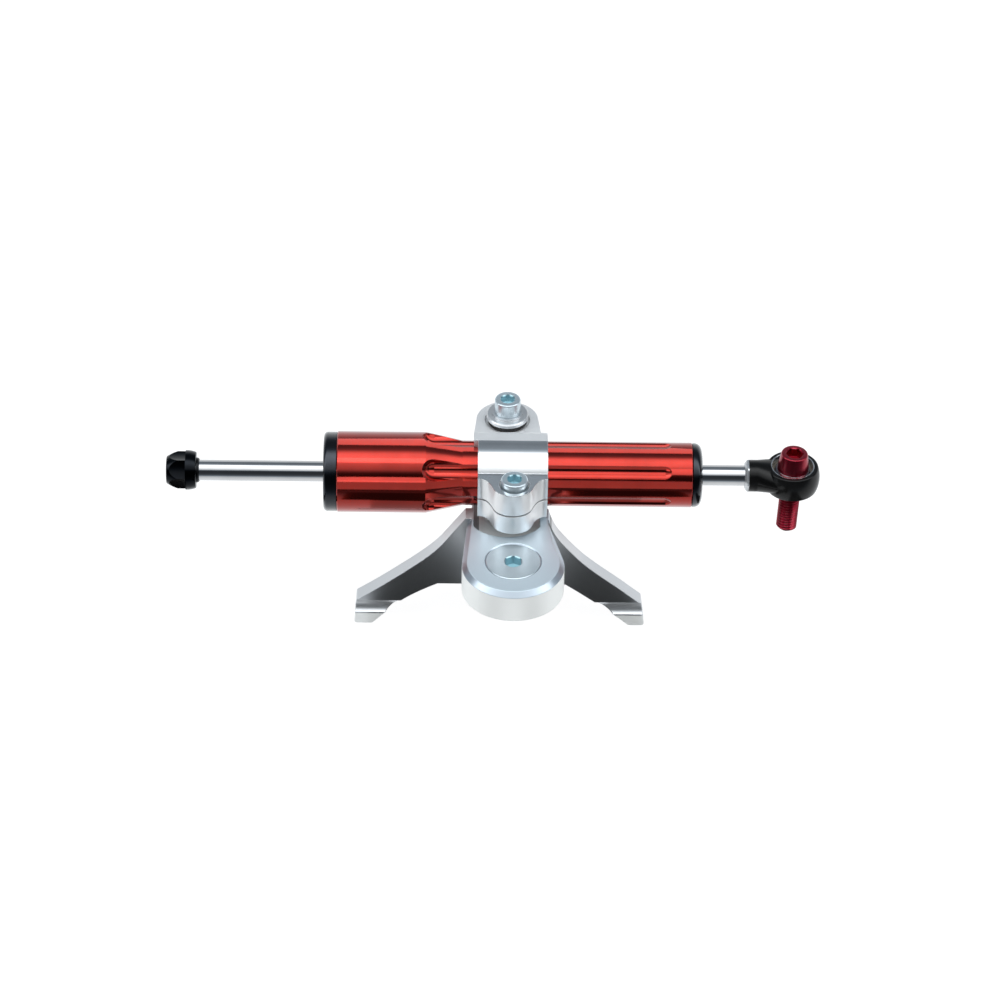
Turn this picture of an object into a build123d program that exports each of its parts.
"""Motorcycle steering damper on its mounting bracket.

A through-rod gas-pressurised damper is held in a split clamp. The clamp swivels on a
pivot bolt at the back of a machined bracket. The bracket has a front lug for the stem
screw and an arch plate with two feet below it.

Units are millimetres. The origin lies on the stem screw's axis at the lug's underside.
+X runs along the damper towards the rod end, +Y runs back, +Z is up.
"""

import os
from math import acos, atan2, cos, radians, sin, sqrt

from build123d import *

os.makedirs("parts", exist_ok=True)

# Fits and clearances shared by all the pieces
running_gap = 0.03        # radial gap of a shaft in its bush or seal
seat_gap = 0.02           # gap between a piece and the seat it is pressed or screwed into
free_gap = 0.3            # gap between bodies that pass each other
overrun = 5.0             # how far a cutter runs past the metal

# Where the damper axis lies
axis_height = 24.8        # above the lug's underside
axis_setback = 39.0       # behind the stem screw

# Damper body
tube_radius = 12.5
tube_bore = 10.0
reservoir_radius = 15.6
reservoir_bore = 13.5
reservoir_left = -67.8
reservoir_right = -33.6
taper_right = -19.5
tube_right = 68.8
bulkhead_seat = -38.0
body_edge = 0.5
flute_count = 6
flute_phase = 40.5
flute_cutter = 4.6
flute_depth = 0.95
flute_start = -30.4
flute_end = 57.6

# End caps
left_cap_radius = 15.3
left_cap_width = 5.0
left_cap_round = 1.6
left_spigot = 8.0
right_cap_radius = 12.35
right_cap_width = 3.8
right_cap_land = 0.3       # plain width beside the tube before the dome
right_spigot = 6.8
thread_relief = 0.05      # radial gap at the caps' and gland's threads
wiper_radius = 6.2
wiper_width = 2.4
wiper_inset = 0.4

# Bulkhead, sleeve and gland inside the body
bulkhead_flange = 3.0
bulkhead_spigot = 6.0
sleeve_radius = 6.5
sleeve_bore = 4.9
sleeve_seat = 2.0
gland_length = 7.4
bush_radius = 5.2
bush_length = 3.2
seal_radius = 6.0
seal_length = 2.0
ring_thickness = 1.6      # O-ring section
ring_squeeze = 0.1

# Floating gas piston
gas_piston_centre = -50.5
gas_piston_length = 7.0

# Gas fill screw in the left cap
fill_screw_offset = 10.2
fill_screw_radius = 2.0
fill_screw_length = 5.5
fill_screw_angle = 200.0
fill_socket = 2.0

# Piston rod
rod_radius = 4.0
rod_bore = 1.6
rod_left = -129.0
rod_shoulder = 90.2
stud_radius = 3.0
stud_length = 8.3
rod_chamfer = 0.4
port_radius = 0.8
left_port_inset = 2.4
right_port_inset = 1.2

# Piston
piston_centre = -4.6
piston_length = 8.0
piston_radius = 9.6
band_depth = 1.2
band_width = 4.0
clip_thickness = 0.8
clip_groove = 0.5
clip_radius = 5.6

# Adjuster
knob_left = -133.2
knob_right = -121.7
knob_nose_radius = 5.2
knob_belly_radius = 7.0
knob_belly = -129.4
knob_rim_radius = 7.65
knob_rim = -125.0
knob_tail_radius = 6.9
knob_nose_round = 0.6
knob_bore = 5.0
knob_bore_depth = 7.7
knob_scallops = 6
knob_phase = 37.5         # one scallop faces forward and up
knob_scallop_cutter = 20.0
knob_scallop_floor = 5.9
knob_scallop_end = -125.8
control_rod_radius = 1.5
control_rod_tail = -16.0
collar_radius = 4.75
collar_right = -120.6
collar_length = 7.4
detent_ball_radius = 0.8
detent_place = -125.6
detent_stand = 0.35
detent_groove_half = 1.1
detent_spring_wall = 0.3
grub_radius = 1.5
grub_length = 2.6
grub_place = -131.2
grub_socket = 0.75
valve_right = 2.2
valve_bore = 0.8
valve_bore_left = -13.4
valve_port = 0.6
valve_tail_radius = 0.8
valve_tail = 4.0

# Jam nut and rod end
nut_width = 1.6
nut_flats = 11.0
nut_face_radius = 4.9
nut_chamfer = 1.0
rod_end_gap = 0.4          # from the rod's shoulder to the housing's neck
rod_end_reach = 16.7
rod_end_radius = 10.65
rod_end_rim = 9.75
rod_end_half = 5.0
rod_end_round = 0.7
neck_radius = 6.15
neck_length = 3.2
shoulder_reach = 5.4       # where the spread neck meets the eye, left of its centre
shoulder_half = 9.1
shoulder_thick = 5.3
race_radius = 8.4
race_wall = 0.45
race_stand = 0.1
liner_half = 2.3
ball_radius = 7.5
ball_half = 4.1
bearing_gap = 0.04

# Rod end bolt
bolt_tilt = 2.3
bolt_radius = 4.0
bolt_shank_relief = 0.04
bolt_reach = 24.8
bolt_undercut = 0.6
bolt_undercut_length = 1.2
bolt_tip_chamfer = 1.0
bolt_head_height = 7.0
bolt_head_top_radius = 5.1
bolt_head_bottom_radius = 6.15
bolt_head_round = 0.5
bolt_socket = 6.0
bolt_socket_depth = 3.8

# Body clamp
clamp_radius = 15.7
clamp_left = -13.7
clamp_right = 13.0
clamp_top = 9.4           # top of the ears and the tongue above the damper axis
clamp_bottom = -8.6
ear_reach = 26.8
ear_centre = 0.2
ear_slot = 0.7
ear_slot_drop = 0.4
# Each point of the ears' plan is a share of the clamp's half width and a share of their reach
ear_shares = ((1.000, 0.600), (0.790, 0.628), (0.620, 0.740), (0.475, 0.897), (0.170, 0.988))
saddle_reach = 4.7
saddle_left = -15.3
saddle_right = 12.6
tongue_half = 12.0
tongue_root_left = -15.3
tongue_root_right = 10.8
tongue_root_reach = 12.0
keel_half = 9.0
keel_level = -11.6

# Clamp screw
clamp_screw_inset = 7.6    # behind the ears' nose
clamp_screw_radius = 3.0
clamp_screw_head = 5.1
clamp_screw_head_height = 6.0
clamp_screw_top = 12.0
clamp_screw_socket = 5.0
clamp_screw_socket_depth = 3.2
clamp_spot_radius = 5.9
screw_clearance = 0.25
screw_edge = 0.5

# Pivot
pivot_offset = -2.35
pivot_setback = 21.7      # behind the damper axis
pivot_bolt_radius = 3.0
pivot_head_radius = 5.0
pivot_head_height = 6.0
pivot_socket = 5.0
pivot_socket_depth = 3.0
pivot_thread_depth = 12.0
collar_sleeve_radius = 5.5
collar_flange_radius = 8.15
collar_flange = 1.6
collar_flange_top = 12.7
collar_boss_radius = 5.9
collar_boss = 0.8
recess_radius = 8.65
recess_depth = 0.8
dust_ring_radius = 7.6
dust_ring_round = 0.5
pivot_bush_radius = 7.0
washer_thickness = 1.25
thrust_washer_radius = 7.4
pivot_boss_radius = 7.7

# Bracket lug and neck
plate_thickness = 12.8
lug_radius = 19.5
lug_forward = 0.8          # lug's centre in front of the stem screw
lug_chamfer = 2.0
neck_left = 17.3
neck_right = 12.9
neck_reach = 28.2
rear_radius = 11.0
pocket_half = 12.8
pocket_centre = -2.4
pocket_front = 14.5
pocket_floor = 6.6
pocket_corner = 4.5
pocket_nose = 2.2
channel_front = 33.3
channel_back = 53.0
channel_round = 2.0

# Arch plate with its two feet
arch_front = 25.7
arch_thickness = 6.6
arch_drop = 52.2          # from the plate's top to the feet's undersides
left_reach = 61.2
right_reach = 52.2
foot_round = 1.2
foot_shoulder_round = 1.0
groove_radius = 3.3
groove_stand = 1.5
groove_height = 8.4       # groove centre above the feet's undersides
# Each point is a share of the leg's reach and a share of the arch's drop
left_outer_shares = (
    (0.985, 0.779), (0.828, 0.646), (0.701, 0.528), (0.548, 0.377), (0.447, 0.251), (0.396, 0.166),
    (0.346, 0.083), (0.296, 0.000),
)
right_outer_shares = (
    (0.970, 0.795), (0.880, 0.718), (0.800, 0.648), (0.706, 0.571), (0.612, 0.492), (0.518, 0.404),
    (0.455, 0.334), (0.392, 0.257), (0.329, 0.170), (0.290, 0.090), (0.262, 0.000),
)
left_inner_shares = ((0.470, 0.615), (0.590, 0.692), (0.700, 0.781), (0.800, 0.893), (0.886, 1.000))
right_inner_shares = ((0.400, 0.615), (0.492, 0.682), (0.680, 0.828), (0.800, 0.928), (0.880, 1.000))

# Stem screw
stem_radius = 5.0
stem_reach = 11.4         # thread standing out below the lug
stem_shank_relief = 0.5
stem_thread_top = 0.6     # the thread ends just inside the lug's relieved mouth
stem_mouth_radius = 6.6
stem_mouth_depth = 0.9
stem_head_radius = 10.8
stem_sink_radius = 11.0
stem_sink_angle = 90.0
stem_seat_relief = 0.06
stem_socket = 6.0
stem_socket_depth = 3.6
stem_tip_chamfer = 1.2

# Places that follow the rod's shoulder and the ears
rod_end_left = rod_shoulder + rod_end_gap
rod_end_centre = rod_end_left + rod_end_reach
nut_left = rod_end_left - nut_width
clamp_screw_reach = ear_reach - clamp_screw_inset

# Planes and lines that the pieces share
damper_section = Plane(origin=(0, axis_setback, axis_height), x_dir=(1, 0, 0), z_dir=(0, -1, 0))
damper_line = Axis((0, axis_setback, axis_height), (1, 0, 0))
pivot_y = axis_setback + pivot_setback
pivot_section = Plane(origin=(pivot_offset, pivot_y, axis_height), x_dir=(1, 0, 0), z_dir=(0, -1, 0))
pivot_line = Axis((pivot_offset, pivot_y, 0), (0, 0, 1))
clamp_screw_y = axis_setback - clamp_screw_reach
clamp_screw_section = Plane(
    origin=(ear_centre, clamp_screw_y, axis_height), x_dir=(1, 0, 0), z_dir=(0, -1, 0)
)
clamp_screw_line = Axis((ear_centre, clamp_screw_y, 0), (0, 0, 1))
detent_plane = Plane(origin=(detent_place, axis_setback, axis_height), x_dir=(1, 0, 0), z_dir=(0, 1, 0))
grub_plane = Plane(origin=(grub_place, axis_setback, axis_height), x_dir=(1, 0, 0), z_dir=(0, 0, -1))
tilt = radians(bolt_tilt)
bearing_section = Plane(
    origin=(rod_end_centre, axis_setback, axis_height), x_dir=(1, 0, 0), z_dir=(0, -1, 0)
)
bearing_line = Axis((rod_end_centre, axis_setback, axis_height), (0, 0, 1))
bolt_direction = (sin(tilt), 0, cos(tilt))
bolt_section = Plane(
    origin=(rod_end_centre, axis_setback, axis_height), x_dir=(cos(tilt), 0, -sin(tilt)), z_dir=(0, -1, 0)
)
bolt_line = Axis((rod_end_centre, axis_setback, axis_height), bolt_direction)


def across(place):
    """Plane square to the damper at a place along it; its first axis points forward, to -Y."""
    return Plane(origin=(place, axis_setback, axis_height), x_dir=(0, -1, 0), z_dir=(1, 0, 0))


def level(height):
    """Horizontal plane at a height above the damper axis, with the frame's own X and Y."""
    return Plane.XY.offset(axis_height + height)


def along_bolt(distance):
    """Plane square to the rod end bolt, at a distance from the ball's centre."""
    place = bolt_section.origin + Vector(*bolt_direction) * distance
    return Plane(origin=place, x_dir=(cos(tilt), 0, -sin(tilt)), z_dir=bolt_direction)


def ring_section(start, end, inner, outer):
    """Half section of a ring that lies along a section plane's first axis."""
    Polygon((start, inner), (end, inner), (end, outer), (start, outer), align=None)


def upright_section(low, high, inner, outer):
    """Half section of a ring that stands along a section plane's second axis."""
    Polygon((inner, low), (outer, low), (outer, high), (inner, high), align=None)


def tangent_point(radius, side, back):
    """Where a line from (side, back) touches the lug's circle, on the side's own side."""
    depth = back + lug_forward
    reach = sqrt(side**2 + depth**2)
    swing = acos(radius / reach)
    turn = atan2(depth, side) + (-swing if side > 0 else swing)
    return (radius * cos(turn), radius * sin(turn) - lug_forward)


def finish(piece, name):
    """Name a finished piece and write it."""
    piece.part.label = name
    export_step(piece.part, f"parts/{name}.step")


# Bracket: lug, neck, rear boss and arch plate in one piece
plate_top = plate_thickness
feet_level = plate_thickness - arch_drop
pivot_boss_top = axis_height + clamp_bottom - washer_thickness - running_gap


def leg_point(side, shares):
    """A point of the arch's outline, from shares of its reach and drop."""
    reach = right_reach if side > 0 else left_reach
    return (side * reach * shares[0], plate_top - arch_drop * shares[1])


with BuildPart() as mounting_bracket:
    with BuildSketch(Plane.XY):
        with Locations((0, -lug_forward)):
            Circle(lug_radius)
        Polygon(
            tangent_point(lug_radius, -neck_left, neck_reach),
            (-neck_left, neck_reach),
            (pivot_offset - rear_radius, pivot_y),
            (pivot_offset + rear_radius, pivot_y),
            (neck_right, neck_reach),
            tangent_point(lug_radius, neck_right, neck_reach),
            align=None,
        )
        with Locations((pivot_offset, pivot_y)):
            Circle(rear_radius)
    extrude(amount=plate_thickness)
    chamfer(
        mounting_bracket.edges().group_by(Axis.Z)[-1].filter_by_position(
            Axis.Y, -lug_forward - lug_radius - overrun, channel_front, inclusive=(True, True)
        ),
        lug_chamfer,
    )
    # the arch plate hangs below the neck; its outline is drawn on its front face
    with BuildSketch(Plane(origin=(0, arch_front, 0), x_dir=(1, 0, 0), z_dir=(0, -1, 0))):
        with BuildLine():
            left_top = Spline(*[leg_point(-1, pair) for pair in left_outer_shares])
            left_crotch = Spline(*[leg_point(-1, pair) for pair in left_inner_shares])
            right_top = Spline(*[leg_point(1, pair) for pair in right_outer_shares])
            right_crotch = Spline(*[leg_point(1, pair) for pair in right_inner_shares])
            Line(left_top @ 1, right_top @ 1)
            Line(left_crotch @ 0, right_crotch @ 0)
            Polyline(left_top @ 0, (-left_reach, feet_level), left_crotch @ 1)
            Polyline(right_top @ 0, (right_reach, feet_level), right_crotch @ 1)
        make_face()
        fillet(vertices().sort_by_distance(left_top @ 0)[0], foot_shoulder_round)
        fillet(vertices().sort_by_distance(right_top @ 0)[0], foot_shoulder_round)
        fillet(vertices().group_by(Axis.Y)[0], foot_round)
    extrude(amount=-arch_thickness)
    # a groove with a round bottom runs across the front of both feet
    with BuildSketch(Plane(origin=(-left_reach - overrun, 0, 0), x_dir=(0, 1, 0), z_dir=(1, 0, 0))):
        with Locations((arch_front - groove_stand, feet_level + groove_height)):
            Circle(groove_radius)
    extrude(amount=left_reach + right_reach + overrun + overrun, mode=Mode.SUBTRACT)
    # pocket that clears the clamp's keel and ears as they swing
    with BuildSketch(Plane.XY.offset(pocket_floor)):
        with BuildLine():
            pocket_left = pocket_centre - pocket_half
            pocket_right = pocket_centre + pocket_half
            nose = ThreePointArc(
                (pocket_left + pocket_corner, pocket_front + pocket_nose),
                (pocket_centre, pocket_front),
                (pocket_right - pocket_corner, pocket_front + pocket_nose),
            )
            left_corner = TangentArc(
                nose @ 0, (pocket_left, pocket_front + pocket_nose + pocket_corner), tangent=-(nose % 0)
            )
            right_corner = TangentArc(
                nose @ 1, (pocket_right, pocket_front + pocket_nose + pocket_corner), tangent=nose % 1
            )
            Polyline(
                left_corner @ 1, (pocket_left, channel_back), (pocket_right, channel_back), right_corner @ 1
            )
        make_face()
    extrude(amount=plate_thickness, mode=Mode.SUBTRACT)
    # channel across the neck under the tube
    with BuildSketch(Plane(origin=(-lug_radius - overrun, 0, 0), x_dir=(0, 1, 0), z_dir=(1, 0, 0))):
        with BuildLine():
            Polyline(
                (channel_front, plate_top + overrun),
                (channel_front, pocket_floor),
                (channel_back, pocket_floor),
                (channel_back, plate_top + overrun),
                close=True,
            )
        make_face()
        fillet(vertices().group_by(Axis.Y)[0], channel_round)
    extrude(amount=2 * (lug_radius + overrun), mode=Mode.SUBTRACT)
    # boss under the tongue, tapped for the pivot bolt
    with BuildSketch(Plane.XY.offset(plate_top)):
        with Locations((pivot_offset, pivot_y)):
            Circle(pivot_boss_radius)
    extrude(amount=pivot_boss_top - plate_top)
    with BuildSketch(Plane.XY.offset(pivot_boss_top - pivot_thread_depth)):
        with Locations((pivot_offset, pivot_y)):
            Circle(pivot_bolt_radius + seat_gap)
    extrude(amount=pivot_thread_depth + overrun, mode=Mode.SUBTRACT)
    # countersunk hole for the stem screw
    with Locations((0, 0, plate_top)):
        CounterSinkHole(stem_radius + screw_clearance, stem_sink_radius, counter_sink_angle=stem_sink_angle)
    with BuildSketch(Plane.XY):
        Circle(stem_mouth_radius)
    extrude(amount=stem_mouth_depth, mode=Mode.SUBTRACT)
finish(mounting_bracket, "mounting_bracket")

# Countersunk stem screw: its cone seats in the lug and its thread stands out below
stem_head_top = plate_top - (stem_sink_radius - stem_head_radius) - seat_gap
stem_shank = stem_radius - stem_shank_relief
stem_seat = stem_head_radius - stem_seat_relief
stem_seat_low = stem_head_top - seat_gap - (stem_seat - stem_shank)
with BuildPart() as stem_screw:
    with BuildSketch(Plane.XZ):
        Polygon(
            (0, -stem_reach),
            (stem_radius - stem_tip_chamfer, -stem_reach),
            (stem_radius, -stem_reach + stem_tip_chamfer),
            (stem_radius, stem_thread_top),
            (stem_shank, stem_thread_top),
            (stem_shank, stem_seat_low),
            (stem_seat, stem_head_top - seat_gap),
            (stem_seat, stem_head_top),
            (0, stem_head_top),
            align=None,
        )
    revolve(axis=Axis.Z)
    with BuildSketch(Plane.XY.offset(stem_head_top)):
        RegularPolygon(stem_socket / 2, 6, major_radius=False)
    extrude(amount=-stem_socket_depth, mode=Mode.SUBTRACT)
finish(stem_screw, "stem_screw")

# Clamp: ring round the tube, two ears in front, a tongue behind, a keel below
with BuildPart() as body_clamp:
    with BuildSketch(across(clamp_left)):
        Circle(clamp_radius)
    extrude(amount=clamp_right - clamp_left)
    # the ends of the ring are cut up above the bracket's rims, leaving the keel
    with BuildSketch(level(keel_level)):
        with Locations((pivot_offset, axis_setback)):
            Rectangle(4 * clamp_radius, 4 * clamp_radius)
            Rectangle(2 * keel_half, 4 * clamp_radius, mode=Mode.SUBTRACT)
    extrude(amount=-clamp_radius, mode=Mode.SUBTRACT)
    # ears: full width at the ring, then hollow flanks to a round nose
    with BuildSketch(level(clamp_bottom)):
        with BuildLine():
            half_width = (clamp_right - clamp_left) / 2
            middle = (clamp_right + clamp_left) / 2
            left_plan = [(middle - half_width * x, axis_setback - ear_reach * y) for x, y in ear_shares]
            right_plan = [(middle + half_width * x, axis_setback - ear_reach * y) for x, y in ear_shares]
            Spline(*left_plan, (middle, axis_setback - ear_reach), *right_plan[::-1])
            Polyline(left_plan[0], (clamp_left, axis_setback), (clamp_right, axis_setback), right_plan[0])
        make_face()
    extrude(amount=clamp_top - clamp_bottom)
    # tongue: narrows from the ring to a round end about the pivot
    with BuildSketch(level(clamp_bottom)):
        with Locations((pivot_offset, pivot_y)):
            Circle(tongue_half)
        Polygon(
            (tongue_root_left, axis_setback),
            (tongue_root_right, axis_setback),
            (tongue_root_right, axis_setback + tongue_root_reach),
            (pivot_offset + tongue_half, pivot_y),
            (pivot_offset - tongue_half, pivot_y),
            (tongue_root_left, axis_setback + tongue_root_reach),
            align=None,
        )
    extrude(amount=clamp_top - clamp_bottom)
    # saddle: the flat strip along the top, behind the ring's crown
    with BuildSketch(Plane.XY.offset(axis_height)):
        Polygon(
            (saddle_left, axis_setback),
            (saddle_right, axis_setback),
            (saddle_right, axis_setback + saddle_reach),
            (saddle_left, axis_setback + saddle_reach),
            align=None,
        )
    extrude(amount=clamp_radius)
    with BuildSketch(across(saddle_left - overrun)):
        Circle(tube_radius + seat_gap)
    extrude(amount=clamp_right - saddle_left + overrun + overrun, mode=Mode.SUBTRACT)
    # the slot between the ears
    with BuildSketch(level(-ear_slot_drop - ear_slot / 2)):
        Polygon(
            (clamp_left - overrun, axis_setback),
            (clamp_right + overrun, axis_setback),
            (clamp_right + overrun, axis_setback - ear_reach - overrun),
            (clamp_left - overrun, axis_setback - ear_reach - overrun),
            align=None,
        )
    extrude(amount=ear_slot, mode=Mode.SUBTRACT)
    # clamp screw: spot face, clearance above the slot and thread below it
    with BuildSketch(level(clamp_screw_top - clamp_screw_head_height)):
        with Locations((ear_centre, clamp_screw_y)):
            Circle(clamp_spot_radius)
    extrude(amount=clamp_radius, mode=Mode.SUBTRACT)
    with BuildSketch(level(-ear_slot_drop)):
        with Locations((ear_centre, clamp_screw_y)):
            Circle(clamp_screw_radius + screw_clearance)
    extrude(amount=clamp_radius, mode=Mode.SUBTRACT)
    with BuildSketch(level(-ear_slot_drop)):
        with Locations((ear_centre, clamp_screw_y)):
            Circle(clamp_screw_radius + seat_gap)
    extrude(amount=-clamp_radius, mode=Mode.SUBTRACT)
    # bore for the pivot bush, and the recess round the collar's flange
    with BuildSketch(level(clamp_bottom - overrun)):
        with Locations((pivot_offset, pivot_y)):
            Circle(pivot_bush_radius + seat_gap)
    extrude(amount=clamp_top - clamp_bottom + overrun + overrun, mode=Mode.SUBTRACT)
    with BuildSketch(level(clamp_top - recess_depth)):
        with Locations((pivot_offset, pivot_y)):
            Circle(recess_radius)
    extrude(amount=recess_depth + overrun, mode=Mode.SUBTRACT)
finish(body_clamp, "body_clamp")

# Clamp screw: socket head cap screw through both ears
with BuildPart() as clamp_screw:
    with BuildSketch(clamp_screw_section):
        clamp_screw_seat = clamp_screw_top - clamp_screw_head_height
        Polygon(
            (0, clamp_bottom),
            (clamp_screw_radius - screw_edge, clamp_bottom),
            (clamp_screw_radius, clamp_bottom + screw_edge),
            (clamp_screw_radius, clamp_screw_seat + seat_gap),
            (clamp_screw_head, clamp_screw_seat + seat_gap),
            (clamp_screw_head, clamp_screw_top - screw_edge),
            (clamp_screw_head - screw_edge, clamp_screw_top),
            (0, clamp_screw_top),
            align=None,
        )
    revolve(axis=clamp_screw_line)
    with BuildSketch(level(clamp_screw_top)):
        with Locations((ear_centre, clamp_screw_y)):
            RegularPolygon(clamp_screw_socket / 2, 6, major_radius=False)
    extrude(amount=-clamp_screw_socket_depth, mode=Mode.SUBTRACT)
finish(clamp_screw, "clamp_screw")

# Pivot stack, from the bracket's boss upwards
boss_level = pivot_boss_top - axis_height
flange_low = collar_flange_top - collar_flange
recess_floor = clamp_top - recess_depth

with BuildPart() as thrust_washer:
    with BuildSketch(pivot_section):
        upright_section(
            boss_level,
            boss_level + washer_thickness,
            collar_sleeve_radius + running_gap,
            thrust_washer_radius,
        )
    revolve(axis=pivot_line)
finish(thrust_washer, "thrust_washer")

with BuildPart() as pivot_bush:
    with BuildSketch(pivot_section):
        upright_section(
            clamp_bottom, recess_floor, collar_sleeve_radius + running_gap, pivot_bush_radius
        )
    revolve(axis=pivot_line)
finish(pivot_bush, "pivot_bush")

with BuildPart() as pivot_collar:
    with BuildSketch(pivot_section):
        Polygon(
            (pivot_bolt_radius + screw_clearance, boss_level),
            (collar_sleeve_radius, boss_level),
            (collar_sleeve_radius, flange_low),
            (collar_flange_radius, flange_low),
            (collar_flange_radius, collar_flange_top - screw_edge),
            (collar_flange_radius - screw_edge, collar_flange_top),
            (collar_boss_radius, collar_flange_top),
            (collar_boss_radius, collar_flange_top + collar_boss),
            (pivot_bolt_radius + screw_clearance, collar_flange_top + collar_boss),
            align=None,
        )
    revolve(axis=pivot_line)
finish(pivot_collar, "pivot_collar")

with BuildPart() as dust_ring:
    with BuildSketch(pivot_section):
        upright_section(
            recess_floor + free_gap, flange_low, collar_sleeve_radius + seat_gap, dust_ring_radius
        )
        fillet(vertices().sort_by(Axis.X)[-2:], dust_ring_round)
    revolve(axis=pivot_line)
finish(dust_ring, "dust_ring")

pivot_head_low = collar_flange_top + collar_boss
with BuildPart() as pivot_bolt:
    with BuildSketch(pivot_section):
        pivot_tip = boss_level - pivot_thread_depth + screw_edge
        pivot_head_top = pivot_head_low + pivot_head_height
        Polygon(
            (0, pivot_tip),
            (pivot_bolt_radius - screw_edge, pivot_tip),
            (pivot_bolt_radius, pivot_tip + screw_edge),
            (pivot_bolt_radius, pivot_head_low),
            (pivot_head_radius, pivot_head_low),
            (pivot_head_radius, pivot_head_top - screw_edge),
            (pivot_head_radius - screw_edge, pivot_head_top),
            (0, pivot_head_top),
            align=None,
        )
    revolve(axis=pivot_line)
    with BuildSketch(level(pivot_head_top)):
        with Locations((pivot_offset, pivot_y)):
            RegularPolygon(pivot_socket / 2, 6, major_radius=False)
    extrude(amount=-pivot_socket_depth, mode=Mode.SUBTRACT)
finish(pivot_bolt, "pivot_bolt")

# Damper body: reservoir, taper and fluted tube turned from one bar
with BuildPart() as damper_body:
    with BuildSketch(damper_section):
        Polygon(
            (reservoir_left, reservoir_bore),
            (bulkhead_seat, reservoir_bore),
            (bulkhead_seat, tube_bore),
            (tube_right, tube_bore),
            (tube_right, tube_radius - body_edge),
            (tube_right - body_edge, tube_radius),
            (taper_right, tube_radius),
            (reservoir_right, reservoir_radius),
            (reservoir_left + body_edge, reservoir_radius),
            (reservoir_left, reservoir_radius - body_edge),
            align=None,
        )
    revolve(axis=damper_line)
    # six flutes cut by a ball-nosed cutter, which bites deeper where the taper rises
    flute_centre = tube_radius - flute_depth + flute_cutter
    with BuildSketch(across(flute_start)):
        with PolarLocations(flute_centre, flute_count, start_angle=-flute_phase):
            Circle(flute_cutter)
    extrude(amount=flute_end - flute_start, mode=Mode.SUBTRACT)
    for flute_stop in (flute_start, flute_end):
        with Locations(across(flute_stop)):
            with PolarLocations(flute_centre, flute_count, start_angle=-flute_phase):
                Sphere(flute_cutter, mode=Mode.SUBTRACT)
finish(damper_body, "damper_body")

# Left end cap: its spigot closes the reservoir and holds the sleeve, wiper and O-ring
left_cap_face = reservoir_left - left_cap_width
left_spigot_end = reservoir_left + left_spigot
groove_floor = ring_thickness - ring_squeeze
left_ring_place = left_spigot_end - ring_thickness * 2
fill_turn = radians(fill_screw_angle)
with BuildPart() as left_end_cap:
    with BuildSketch(damper_section):
        with BuildLine():
            Polyline(
                (left_cap_face + wiper_inset + wiper_width, wiper_radius),
                (left_cap_face, wiper_radius),
                (left_cap_face, left_cap_radius),
                (reservoir_left, left_cap_radius),
                (reservoir_left, reservoir_bore - thread_relief),
                (left_ring_place, reservoir_bore - thread_relief),
                (left_ring_place, reservoir_bore - groove_floor),
                (left_ring_place + ring_thickness, reservoir_bore - groove_floor),
                (left_ring_place + ring_thickness, reservoir_bore - thread_relief),
                (left_spigot_end, reservoir_bore - thread_relief),
                (left_spigot_end, sleeve_radius + seat_gap),
                (left_spigot_end - sleeve_seat, sleeve_radius + seat_gap),
                (left_spigot_end - sleeve_seat, sleeve_bore),
                (left_cap_face + wiper_inset + wiper_width, sleeve_bore),
                close=True,
            )
        make_face()
        fillet(vertices().group_by(Axis.X)[0].sort_by(Axis.Y)[-1], left_cap_round)
    revolve(axis=damper_line)
    with BuildSketch(across(left_cap_face)):
        with Locations((fill_screw_offset * cos(fill_turn), fill_screw_offset * sin(fill_turn))):
            Circle(fill_screw_radius + seat_gap)
    extrude(amount=left_cap_width + left_spigot, mode=Mode.SUBTRACT)
finish(left_end_cap, "left_end_cap")

with BuildPart() as gas_fill_screw:
    with BuildSketch(across(left_cap_face + wiper_inset)):
        with Locations((fill_screw_offset * cos(fill_turn), fill_screw_offset * sin(fill_turn))):
            Circle(fill_screw_radius)
    extrude(amount=fill_screw_length)
    with BuildSketch(across(left_cap_face + wiper_inset)):
        with Locations((fill_screw_offset * cos(fill_turn), fill_screw_offset * sin(fill_turn))):
            RegularPolygon(fill_socket / 2, 6, major_radius=False)
    extrude(amount=fill_socket, mode=Mode.SUBTRACT)
finish(gas_fill_screw, "gas_fill_screw")

# Right end cap, screwed into the tube against the gland
right_cap_face = tube_right + right_cap_width
right_spigot_end = tube_right - right_spigot
with BuildPart() as right_end_cap:
    with BuildSketch(damper_section):
        with BuildLine():
            Spline(
                (right_cap_face, wiper_radius),
                (tube_right + right_cap_land, right_cap_radius),
                tangents=((0, 1), (-1, 0)),
            )
            Polyline(
                (tube_right + right_cap_land, right_cap_radius),
                (tube_right, right_cap_radius),
                (tube_right, tube_bore - thread_relief),
                (right_spigot_end, tube_bore - thread_relief),
                (right_spigot_end, rod_radius + free_gap),
                (right_cap_face - wiper_inset - wiper_width, rod_radius + free_gap),
                (right_cap_face - wiper_inset - wiper_width, wiper_radius),
                (right_cap_face, wiper_radius),
            )
        make_face()
    revolve(axis=damper_line)
finish(right_end_cap, "right_end_cap")

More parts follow.
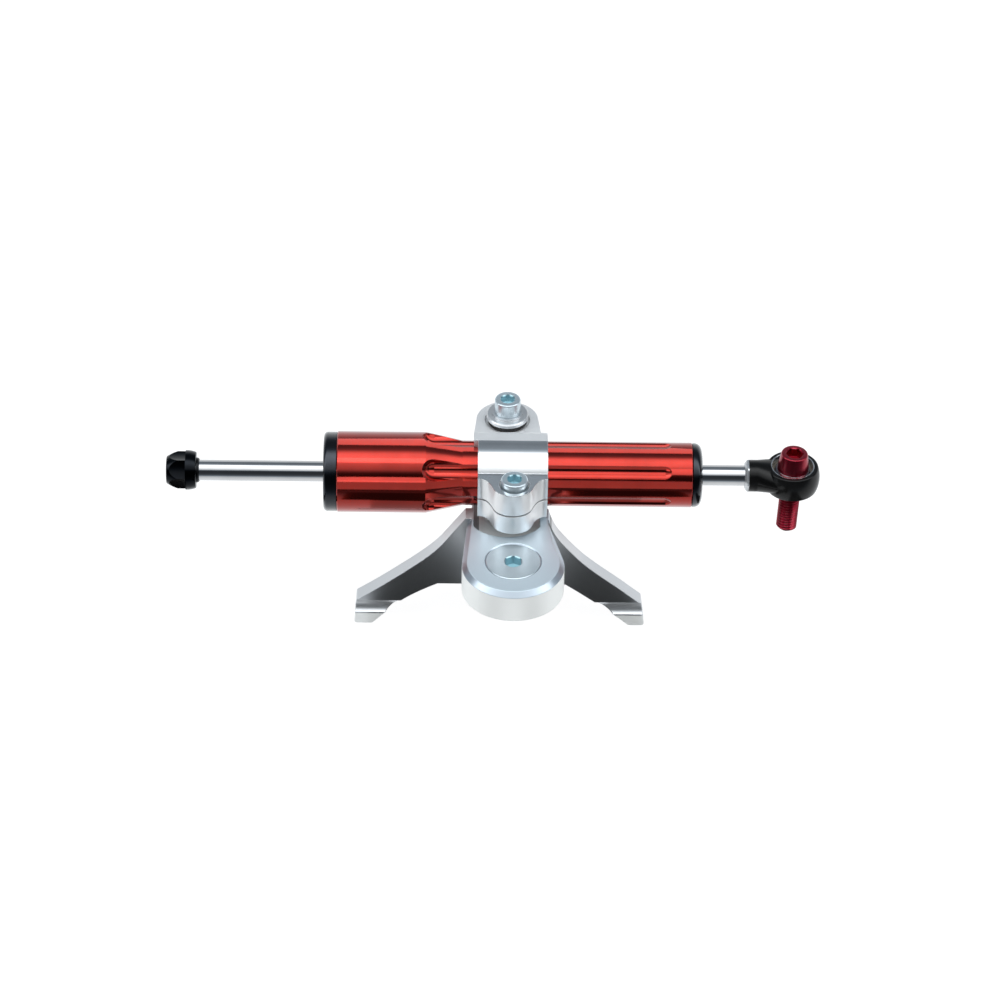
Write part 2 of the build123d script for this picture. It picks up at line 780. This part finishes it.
# Bulkhead between the reservoir and the cylinder; the sleeve joins it to the left cap
bulkhead_left = bulkhead_seat - bulkhead_flange
bulkhead_right = bulkhead_seat + bulkhead_spigot
bulkhead_ring_place = bulkhead_seat + (bulkhead_spigot - ring_thickness) / 2
with BuildPart() as reservoir_bulkhead:
    with BuildSketch(damper_section):
        Polygon(
            (bulkhead_left, sleeve_radius + seat_gap),
            (bulkhead_left, reservoir_bore - seat_gap),
            (bulkhead_seat, reservoir_bore - seat_gap),
            (bulkhead_seat, tube_bore - seat_gap),
            (bulkhead_ring_place, tube_bore - seat_gap),
            (bulkhead_ring_place, tube_bore - groove_floor),
            (bulkhead_ring_place + ring_thickness, tube_bore - groove_floor),
            (bulkhead_ring_place + ring_thickness, tube_bore - seat_gap),
            (bulkhead_right, tube_bore - seat_gap),
            (bulkhead_right, bush_radius),
            (bulkhead_right - bush_length, bush_radius),
            (bulkhead_right - bush_length, rod_radius + free_gap),
            (bulkhead_left + sleeve_seat + seal_length, rod_radius + free_gap),
            (bulkhead_left + sleeve_seat + seal_length, seal_radius),
            (bulkhead_left + sleeve_seat, seal_radius),
            (bulkhead_left + sleeve_seat, sleeve_radius + seat_gap),
            align=None,
        )
    revolve(axis=damper_line)
finish(reservoir_bulkhead, "reservoir_bulkhead")

with BuildPart() as reservoir_sleeve:
    with BuildSketch(damper_section):
        ring_section(left_spigot_end - sleeve_seat, bulkhead_left + sleeve_seat, sleeve_bore, sleeve_radius)
    revolve(axis=damper_line)
finish(reservoir_sleeve, "reservoir_sleeve")

# Gland at the right end of the cylinder
gland_right = right_spigot_end
gland_left = gland_right - gland_length
gland_ring_place = gland_left + (gland_length - ring_thickness) / 2
with BuildPart() as rod_gland:
    with BuildSketch(damper_section):
        Polygon(
            (gland_left, bush_radius),
            (gland_left, tube_bore - seat_gap),
            (gland_ring_place, tube_bore - seat_gap),
            (gland_ring_place, tube_bore - groove_floor),
            (gland_ring_place + ring_thickness, tube_bore - groove_floor),
            (gland_ring_place + ring_thickness, tube_bore - seat_gap),
            (gland_right, tube_bore - seat_gap),
            (gland_right, seal_radius),
            (gland_right - seal_length, seal_radius),
            (gland_right - seal_length, rod_radius + free_gap),
            (gland_left + bush_length, rod_radius + free_gap),
            (gland_left + bush_length, bush_radius),
            align=None,
        )
    revolve(axis=damper_line)
finish(rod_gland, "rod_gland")

# Bushes, seals, wipers and O-rings are plain rings round the damper line
rod_fit = rod_radius + running_gap
bulkhead_seal = bulkhead_left + sleeve_seat
left_wiper_place = left_cap_face + wiper_inset
right_wiper_place = right_cap_face - wiper_inset
damper_rings = {
    "rod_bush_left": (bulkhead_right - bush_length, bulkhead_right, rod_fit, bush_radius),
    "rod_bush_right": (gland_left, gland_left + bush_length, rod_fit, bush_radius),
    "rod_seal_left": (bulkhead_seal, bulkhead_seal + seal_length, rod_fit, seal_radius),
    "rod_seal_right": (gland_right - seal_length, gland_right, rod_fit, seal_radius),
    "wiper_left": (left_wiper_place, left_wiper_place + wiper_width, rod_fit, wiper_radius),
    "wiper_right": (right_wiper_place - wiper_width, right_wiper_place, rod_fit, wiper_radius),
    "left_cap_ring": (
        left_ring_place, left_ring_place + ring_thickness, reservoir_bore - groove_floor, reservoir_bore
    ),
    "bulkhead_ring": (
        bulkhead_ring_place, bulkhead_ring_place + ring_thickness, tube_bore - groove_floor, tube_bore
    ),
    "gland_ring": (gland_ring_place, gland_ring_place + ring_thickness, tube_bore - groove_floor, tube_bore),
}
for ring_name, (ring_start, ring_end, ring_inner, ring_outer) in damper_rings.items():
    with BuildPart() as damper_ring:
        with BuildSketch(damper_section):
            ring_section(ring_start, ring_end, ring_inner, ring_outer)
        revolve(axis=damper_line)
    finish(damper_ring, ring_name)

# Floating gas piston: a ring between the sleeve and the reservoir wall
gas_left = gas_piston_centre - gas_piston_length / 2
gas_right = gas_piston_centre + gas_piston_length / 2
gas_ring_left = gas_piston_centre - ring_thickness / 2
gas_ring_right = gas_piston_centre + ring_thickness / 2
with BuildPart() as gas_piston:
    with BuildSketch(damper_section):
        Polygon(
            (gas_left, sleeve_radius + running_gap),
            (gas_left, reservoir_bore - running_gap),
            (gas_ring_left, reservoir_bore - running_gap),
            (gas_ring_left, reservoir_bore - groove_floor),
            (gas_ring_right, reservoir_bore - groove_floor),
            (gas_ring_right, reservoir_bore - running_gap),
            (gas_right, reservoir_bore - running_gap),
            (gas_right, sleeve_radius + running_gap),
            (gas_ring_right, sleeve_radius + running_gap),
            (gas_ring_right, sleeve_radius + groove_floor),
            (gas_ring_left, sleeve_radius + groove_floor),
            (gas_ring_left, sleeve_radius + running_gap),
            align=None,
        )
    revolve(axis=damper_line)
finish(gas_piston, "gas_piston")

gas_rings = {
    "gas_ring_outer": (reservoir_bore - groove_floor, reservoir_bore - running_gap),
    "gas_ring_inner": (sleeve_radius + running_gap, sleeve_radius + groove_floor),
}
for ring_name, (ring_inner, ring_outer) in gas_rings.items():
    with BuildPart() as gas_ring:
        with BuildSketch(damper_section):
            ring_section(gas_ring_left, gas_ring_right, ring_inner, ring_outer)
        revolve(axis=damper_line)
    finish(gas_ring, ring_name)

# Piston rod: hollow, with two clip grooves, oil ports and a stud for the rod end
piston_left = piston_centre - piston_length / 2
piston_right = piston_centre + piston_length / 2
stud_end = rod_shoulder + stud_length
left_port = piston_left - clip_thickness - left_port_inset
right_port = piston_right + clip_thickness + right_port_inset
detent_floor = rod_bore + detent_spring_wall
with BuildPart() as piston_rod:
    with BuildSketch(damper_section):
        Polygon(
            (rod_left, rod_bore),
            (rod_left, rod_radius - rod_chamfer),
            (rod_left + rod_chamfer, rod_radius),
            (piston_left - clip_thickness, rod_radius),
            (piston_left - clip_thickness, rod_radius - clip_groove),
            (piston_left, rod_radius - clip_groove),
            (piston_left, rod_radius),
            (piston_right, rod_radius),
            (piston_right, rod_radius - clip_groove),
            (piston_right + clip_thickness, rod_radius - clip_groove),
            (piston_right + clip_thickness, rod_radius),
            (rod_shoulder, rod_radius),
            (rod_shoulder, stud_radius),
            (stud_end, stud_radius),
            (stud_end, 0),
            (valve_right + valve_tail, 0),
            (valve_right + valve_tail, rod_bore),
            align=None,
        )
    revolve(axis=damper_line)
    # oil ports on both sides of the piston
    with BuildSketch(Plane.XY.offset(axis_height)):
        with Locations(
            (left_port, axis_setback),
            (right_port, axis_setback),
        ):
            Circle(port_radius)
    extrude(amount=2 * rod_radius, both=True, mode=Mode.SUBTRACT)
    # blind hole for the detent spring and ball, on the far side
    with BuildSketch(detent_plane.offset(detent_floor)):
        Circle(detent_ball_radius + seat_gap)
    extrude(amount=rod_radius, mode=Mode.SUBTRACT)
finish(piston_rod, "piston_rod")

# Piston, its band and the two clips that hold it on the rod
with BuildPart() as piston:
    with BuildSketch(damper_section):
        Polygon(
            (piston_left, rod_radius + seat_gap),
            (piston_left, piston_radius),
            (piston_centre - band_width / 2, piston_radius),
            (piston_centre - band_width / 2, piston_radius - band_depth),
            (piston_centre + band_width / 2, piston_radius - band_depth),
            (piston_centre + band_width / 2, piston_radius),
            (piston_right, piston_radius),
            (piston_right, rod_radius + seat_gap),
            align=None,
        )
    revolve(axis=damper_line)
finish(piston, "piston")

with BuildPart() as piston_band:
    with BuildSketch(damper_section):
        ring_section(
            piston_centre - band_width / 2 + running_gap,
            piston_centre + band_width / 2 - running_gap,
            piston_radius - band_depth + running_gap,
            tube_bore - running_gap,
        )
    revolve(axis=damper_line)
finish(piston_band, "piston_band")

with BuildPart() as piston_clips:
    with BuildSketch(damper_section):
        ring_section(piston_left - clip_thickness, piston_left, rod_radius - clip_groove, clip_radius)
        ring_section(piston_right, piston_right + clip_thickness, rod_radius - clip_groove, clip_radius)
    revolve(axis=damper_line)
finish(piston_clips, "piston_clips")

# Adjuster knob: a scalloped cone with a rim, turned with the control rod inside the rod
knob_bore_end = knob_right - knob_bore_depth
detent_reach = rod_radius + detent_stand + detent_ball_radius
scallop_centre = knob_scallop_floor + knob_scallop_cutter
with BuildPart() as adjuster_knob:
    with BuildSketch(damper_section):
        with BuildLine():
            Spline(
                (knob_left, knob_nose_radius),
                (knob_belly, knob_belly_radius),
                (knob_rim, knob_rim_radius),
                (knob_right, knob_tail_radius),
            )
            Polyline(
                (knob_right, knob_tail_radius),
                (knob_right, knob_bore),
                (detent_place + detent_groove_half, knob_bore),
                (detent_place + detent_ball_radius, detent_reach + free_gap / 2),
                (detent_place - detent_ball_radius, detent_reach + free_gap / 2),
                (detent_place - detent_groove_half, knob_bore),
                (knob_bore_end, knob_bore),
                (knob_bore_end, control_rod_radius + seat_gap),
                (knob_left, control_rod_radius + seat_gap),
                (knob_left, knob_nose_radius),
            )
        make_face()
        fillet(vertices().group_by(Axis.X)[0].sort_by(Axis.Y)[-1], knob_nose_round)
        fillet(vertices().group_by(Axis.X)[-1].sort_by(Axis.Y)[-1], knob_nose_round)
    revolve(axis=damper_line)
    # broad, shallow scallops run from the nose and stop short of the rim, which stays round
    with BuildSketch(across(knob_left - overrun)):
        with PolarLocations(scallop_centre, knob_scallops, start_angle=-knob_phase):
            Circle(knob_scallop_cutter)
    extrude(amount=knob_scallop_end - knob_left + overrun, mode=Mode.SUBTRACT)
    with BuildSketch(grub_plane):
        Circle(grub_radius + seat_gap)
    extrude(amount=knob_rim_radius, mode=Mode.SUBTRACT)
finish(adjuster_knob, "adjuster_knob")

with BuildPart() as knob_grub_screw:
    with BuildSketch(grub_plane.offset(control_rod_radius)):
        Circle(grub_radius)
    extrude(amount=grub_length)
    with BuildSketch(Plane(faces().sort_by(Axis.Z)[0])):
        RegularPolygon(grub_socket, 6, major_radius=False)
    extrude(amount=-grub_socket, mode=Mode.SUBTRACT)
finish(knob_grub_screw, "knob_grub_screw")

with BuildPart() as control_rod:
    with BuildSketch(damper_section):
        ring_section(knob_left, control_rod_tail, 0, control_rod_radius)
    revolve(axis=damper_line)
    with BuildSketch(across(control_rod_tail)):
        Circle(valve_tail_radius + seat_gap)
    extrude(amount=-valve_tail, mode=Mode.SUBTRACT)
finish(control_rod, "control_rod")

# Metering valve: a hollow spool turned by the control rod, with a window that opens the port
with BuildPart() as metering_valve:
    with BuildSketch(damper_section):
        Polygon(
            (control_rod_tail - valve_tail, 0),
            (control_rod_tail - valve_tail, valve_tail_radius),
            (control_rod_tail, valve_tail_radius),
            (control_rod_tail, control_rod_radius),
            (valve_right, control_rod_radius),
            (valve_right, valve_bore),
            (valve_bore_left, valve_bore),
            (valve_bore_left, 0),
            align=None,
        )
    revolve(axis=damper_line)
    with BuildSketch(Plane.XY.offset(axis_height)):
        with Locations((left_port, axis_setback), (right_port, axis_setback)):
            Circle(valve_port)
    extrude(amount=2 * control_rod_radius, mode=Mode.SUBTRACT)
finish(metering_valve, "metering_valve")

# Detent collar on the rod's end, with the ball and spring that click in the knob
collar_left = collar_right - collar_length
with BuildPart() as detent_collar:
    with BuildSketch(damper_section):
        ring_section(collar_left, collar_right, rod_radius + seat_gap, collar_radius)
        chamfer(vertices().group_by(Axis.Y)[-1], rod_chamfer)
    revolve(axis=damper_line)
    with BuildSketch(detent_plane):
        Circle(detent_ball_radius + seat_gap)
    extrude(amount=knob_rim_radius, mode=Mode.SUBTRACT)
finish(detent_collar, "detent_collar")

with BuildPart() as detent_ball:
    with Locations((detent_place, axis_setback + rod_radius + detent_stand, axis_height)):
        Sphere(detent_ball_radius)
finish(detent_ball, "detent_ball")

detent_spring_top = rod_radius + detent_stand - detent_ball_radius
with BuildPart() as detent_spring:
    with BuildSketch(detent_plane.offset(detent_floor)):
        Circle(detent_ball_radius)
        Circle(detent_ball_radius - detent_spring_wall, mode=Mode.SUBTRACT)
    extrude(amount=detent_spring_top - detent_floor)
finish(detent_spring, "detent_spring")

# Jam nut: a thin hexagon with a deep chamfer on its rod side
with BuildPart() as jam_nut:
    with BuildSketch(across(nut_left)):
        RegularPolygon(nut_flats / 2, 6, major_radius=False)
    extrude(amount=rod_end_left - nut_left)
    with BuildSketch(damper_section):
        Polygon(
            (nut_left, 0),
            (nut_left, nut_face_radius),
            (nut_left + nut_chamfer, neck_radius),
            (rod_end_left, neck_radius),
            (rod_end_left, 0),
            align=None,
        )
    revolve(axis=damper_line, mode=Mode.INTERSECT)
    with BuildSketch(damper_section):
        ring_section(nut_left - overrun, rod_shoulder, 0, rod_radius + seat_gap)
        ring_section(rod_shoulder, rod_end_left + overrun, 0, stud_radius + seat_gap)
    revolve(axis=damper_line, mode=Mode.SUBTRACT)
finish(jam_nut, "jam_nut")

# Rod end housing: a round neck that widens into the barrel-sided eye
with BuildPart() as rod_end_housing:
    with BuildSketch(bearing_section):
        with BuildLine():
            Line((0, -rod_end_half), (rod_end_rim, -rod_end_half))
            ThreePointArc((rod_end_rim, -rod_end_half), (rod_end_radius, 0), (rod_end_rim, rod_end_half))
            Line((rod_end_rim, rod_end_half), (0, rod_end_half))
            Line((0, rod_end_half), (0, -rod_end_half))
        make_face()
        fillet(vertices().group_by(Axis.X)[-1], rod_end_round)
    revolve(axis=bearing_line)
    with BuildSketch(across(rod_end_left)):
        Circle(neck_radius)
    extrude(amount=neck_length)
    # the neck flattens and spreads to the eye's width
    with BuildSketch(across(rod_end_left + neck_length)):
        Circle(neck_radius)
    with BuildSketch(across(rod_end_centre - shoulder_reach)):
        Ellipse(shoulder_half, shoulder_thick)
    loft()
    with BuildSketch(level(-rod_end_half - overrun)):
        with Locations((rod_end_centre, axis_setback)):
            Circle(race_radius)
    extrude(amount=2 * (rod_end_half + overrun), mode=Mode.SUBTRACT)
    with BuildSketch(across(rod_end_left)):
        Circle(stud_radius + seat_gap)
    extrude(amount=stud_end - rod_end_left, mode=Mode.SUBTRACT)
finish(rod_end_housing, "rod_end_housing")

# Race, liner and ball of the rod end's bearing
race_bore = race_radius - race_wall
race_half = rod_end_half + race_stand
with BuildPart() as bearing_race:
    with BuildSketch(bearing_section):
        upright_section(-race_half, race_half, race_bore, race_radius - seat_gap)
        chamfer(vertices().sort_by(Axis.X)[:2], race_stand)
    revolve(axis=bearing_line)
finish(bearing_race, "bearing_race")

with BuildPart() as bearing_liner:
    with BuildSketch(bearing_section):
        upright_section(-liner_half, liner_half, 0, race_bore - running_gap)
    revolve(axis=bearing_line)
    with Locations(bearing_section.origin):
        Sphere(ball_radius + bearing_gap, mode=Mode.SUBTRACT)
finish(bearing_liner, "bearing_liner")

with BuildPart() as bearing_ball:
    with BuildSketch(bolt_section):
        with BuildLine():
            flat_radius = sqrt(ball_radius**2 - ball_half**2)
            Line((bolt_radius + seat_gap, -ball_half), (flat_radius, -ball_half))
            ThreePointArc((flat_radius, -ball_half), (ball_radius, 0), (flat_radius, ball_half))
            Line((flat_radius, ball_half), (bolt_radius + seat_gap, ball_half))
            Line((bolt_radius + seat_gap, ball_half), (bolt_radius + seat_gap, -ball_half))
        make_face()
    revolve(axis=bolt_line)
finish(bearing_ball, "bearing_ball")

# Rod end bolt: tapered head with a hexagon socket, its thread standing out below the ball
bolt_seat = ball_half + running_gap
bolt_thread_top = -ball_half - bolt_undercut_length
with BuildPart() as rod_end_bolt:
    with BuildSketch(bolt_section):
        with BuildLine():
            Polyline(
                (0, -bolt_reach),
                (bolt_radius - bolt_tip_chamfer, -bolt_reach),
                (bolt_radius, -bolt_reach + bolt_tip_chamfer),
                (bolt_radius, bolt_thread_top),
                (bolt_radius - bolt_undercut, bolt_thread_top),
                (bolt_radius - bolt_undercut, -ball_half),
                (bolt_radius - bolt_shank_relief, -ball_half),
                (bolt_radius - bolt_shank_relief, bolt_seat),
                (bolt_head_bottom_radius, bolt_seat),
                (bolt_head_top_radius, bolt_seat + bolt_head_height),
                (0, bolt_seat + bolt_head_height),
                close=True,
            )
        make_face()
        fillet(vertices().group_by(Axis.Y)[-1].sort_by(Axis.X)[-1], bolt_head_round)
    revolve(axis=bolt_line)
    with BuildSketch(along_bolt(bolt_seat + bolt_head_height)):
        RegularPolygon(bolt_socket / 2, 6, major_radius=False)
    extrude(amount=-bolt_socket_depth, mode=Mode.SUBTRACT)
finish(rod_end_bolt, "rod_end_bolt")
